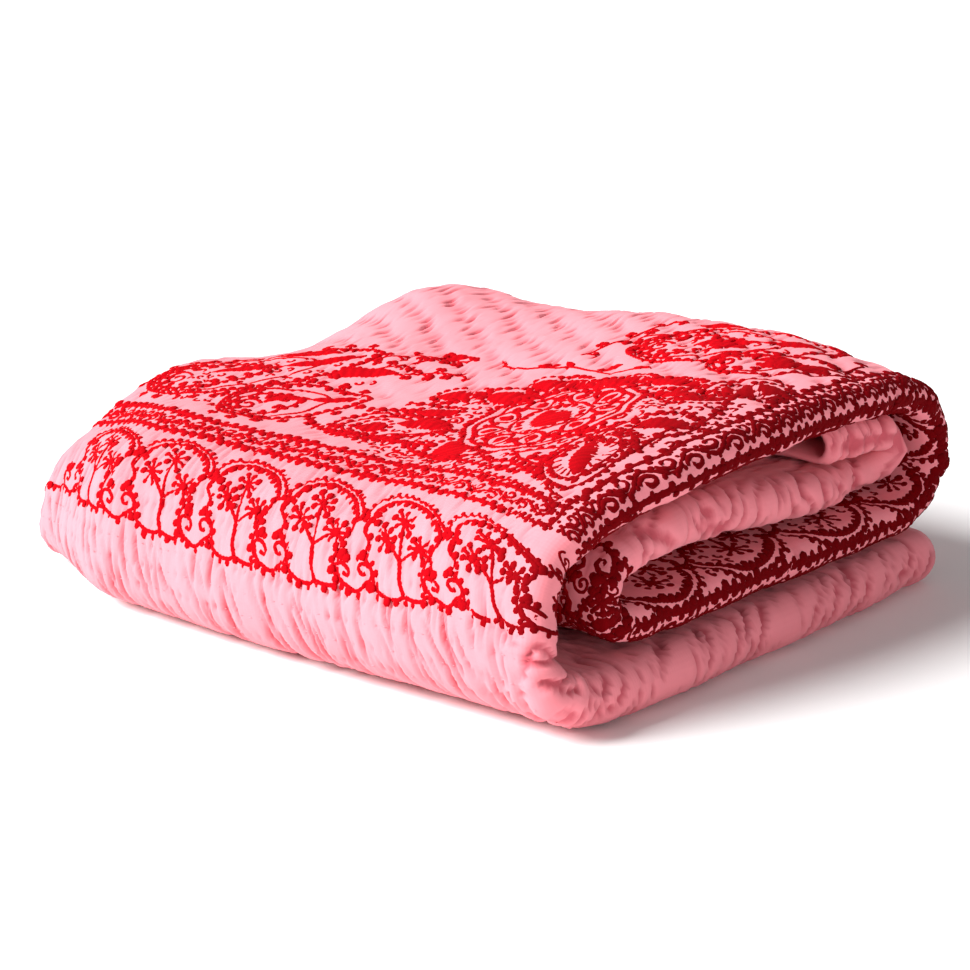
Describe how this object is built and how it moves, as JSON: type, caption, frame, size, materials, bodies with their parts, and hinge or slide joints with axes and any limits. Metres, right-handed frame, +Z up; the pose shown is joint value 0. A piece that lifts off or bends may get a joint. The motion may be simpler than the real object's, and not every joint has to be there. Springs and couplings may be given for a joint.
{
  "type": "folded quilted bedspread",
  "caption": "Quilted cotton bedspread with raised yarn embroidery, folded across its width and rolled over on itself into a soft flat stack, lying on a surface.",
  "frame": {"origin": "middle of the folded stack's outline, on the surface it lies on", "axes": "+X along the long front fold towards the open folded end, +Y to the back, +Z up"},
  "size_m": [0.4957, 0.4299, 0.1608],
  "materials": {
    "quilted_cotton": "plain pink cotton, hand quilted, matt",
    "red_yarn": "thick red cotton embroidery yarn, matt"
  },
  "bodies": {
    "root": {"bedspread": "quilted_cotton"}
  },
  "joints": []
}
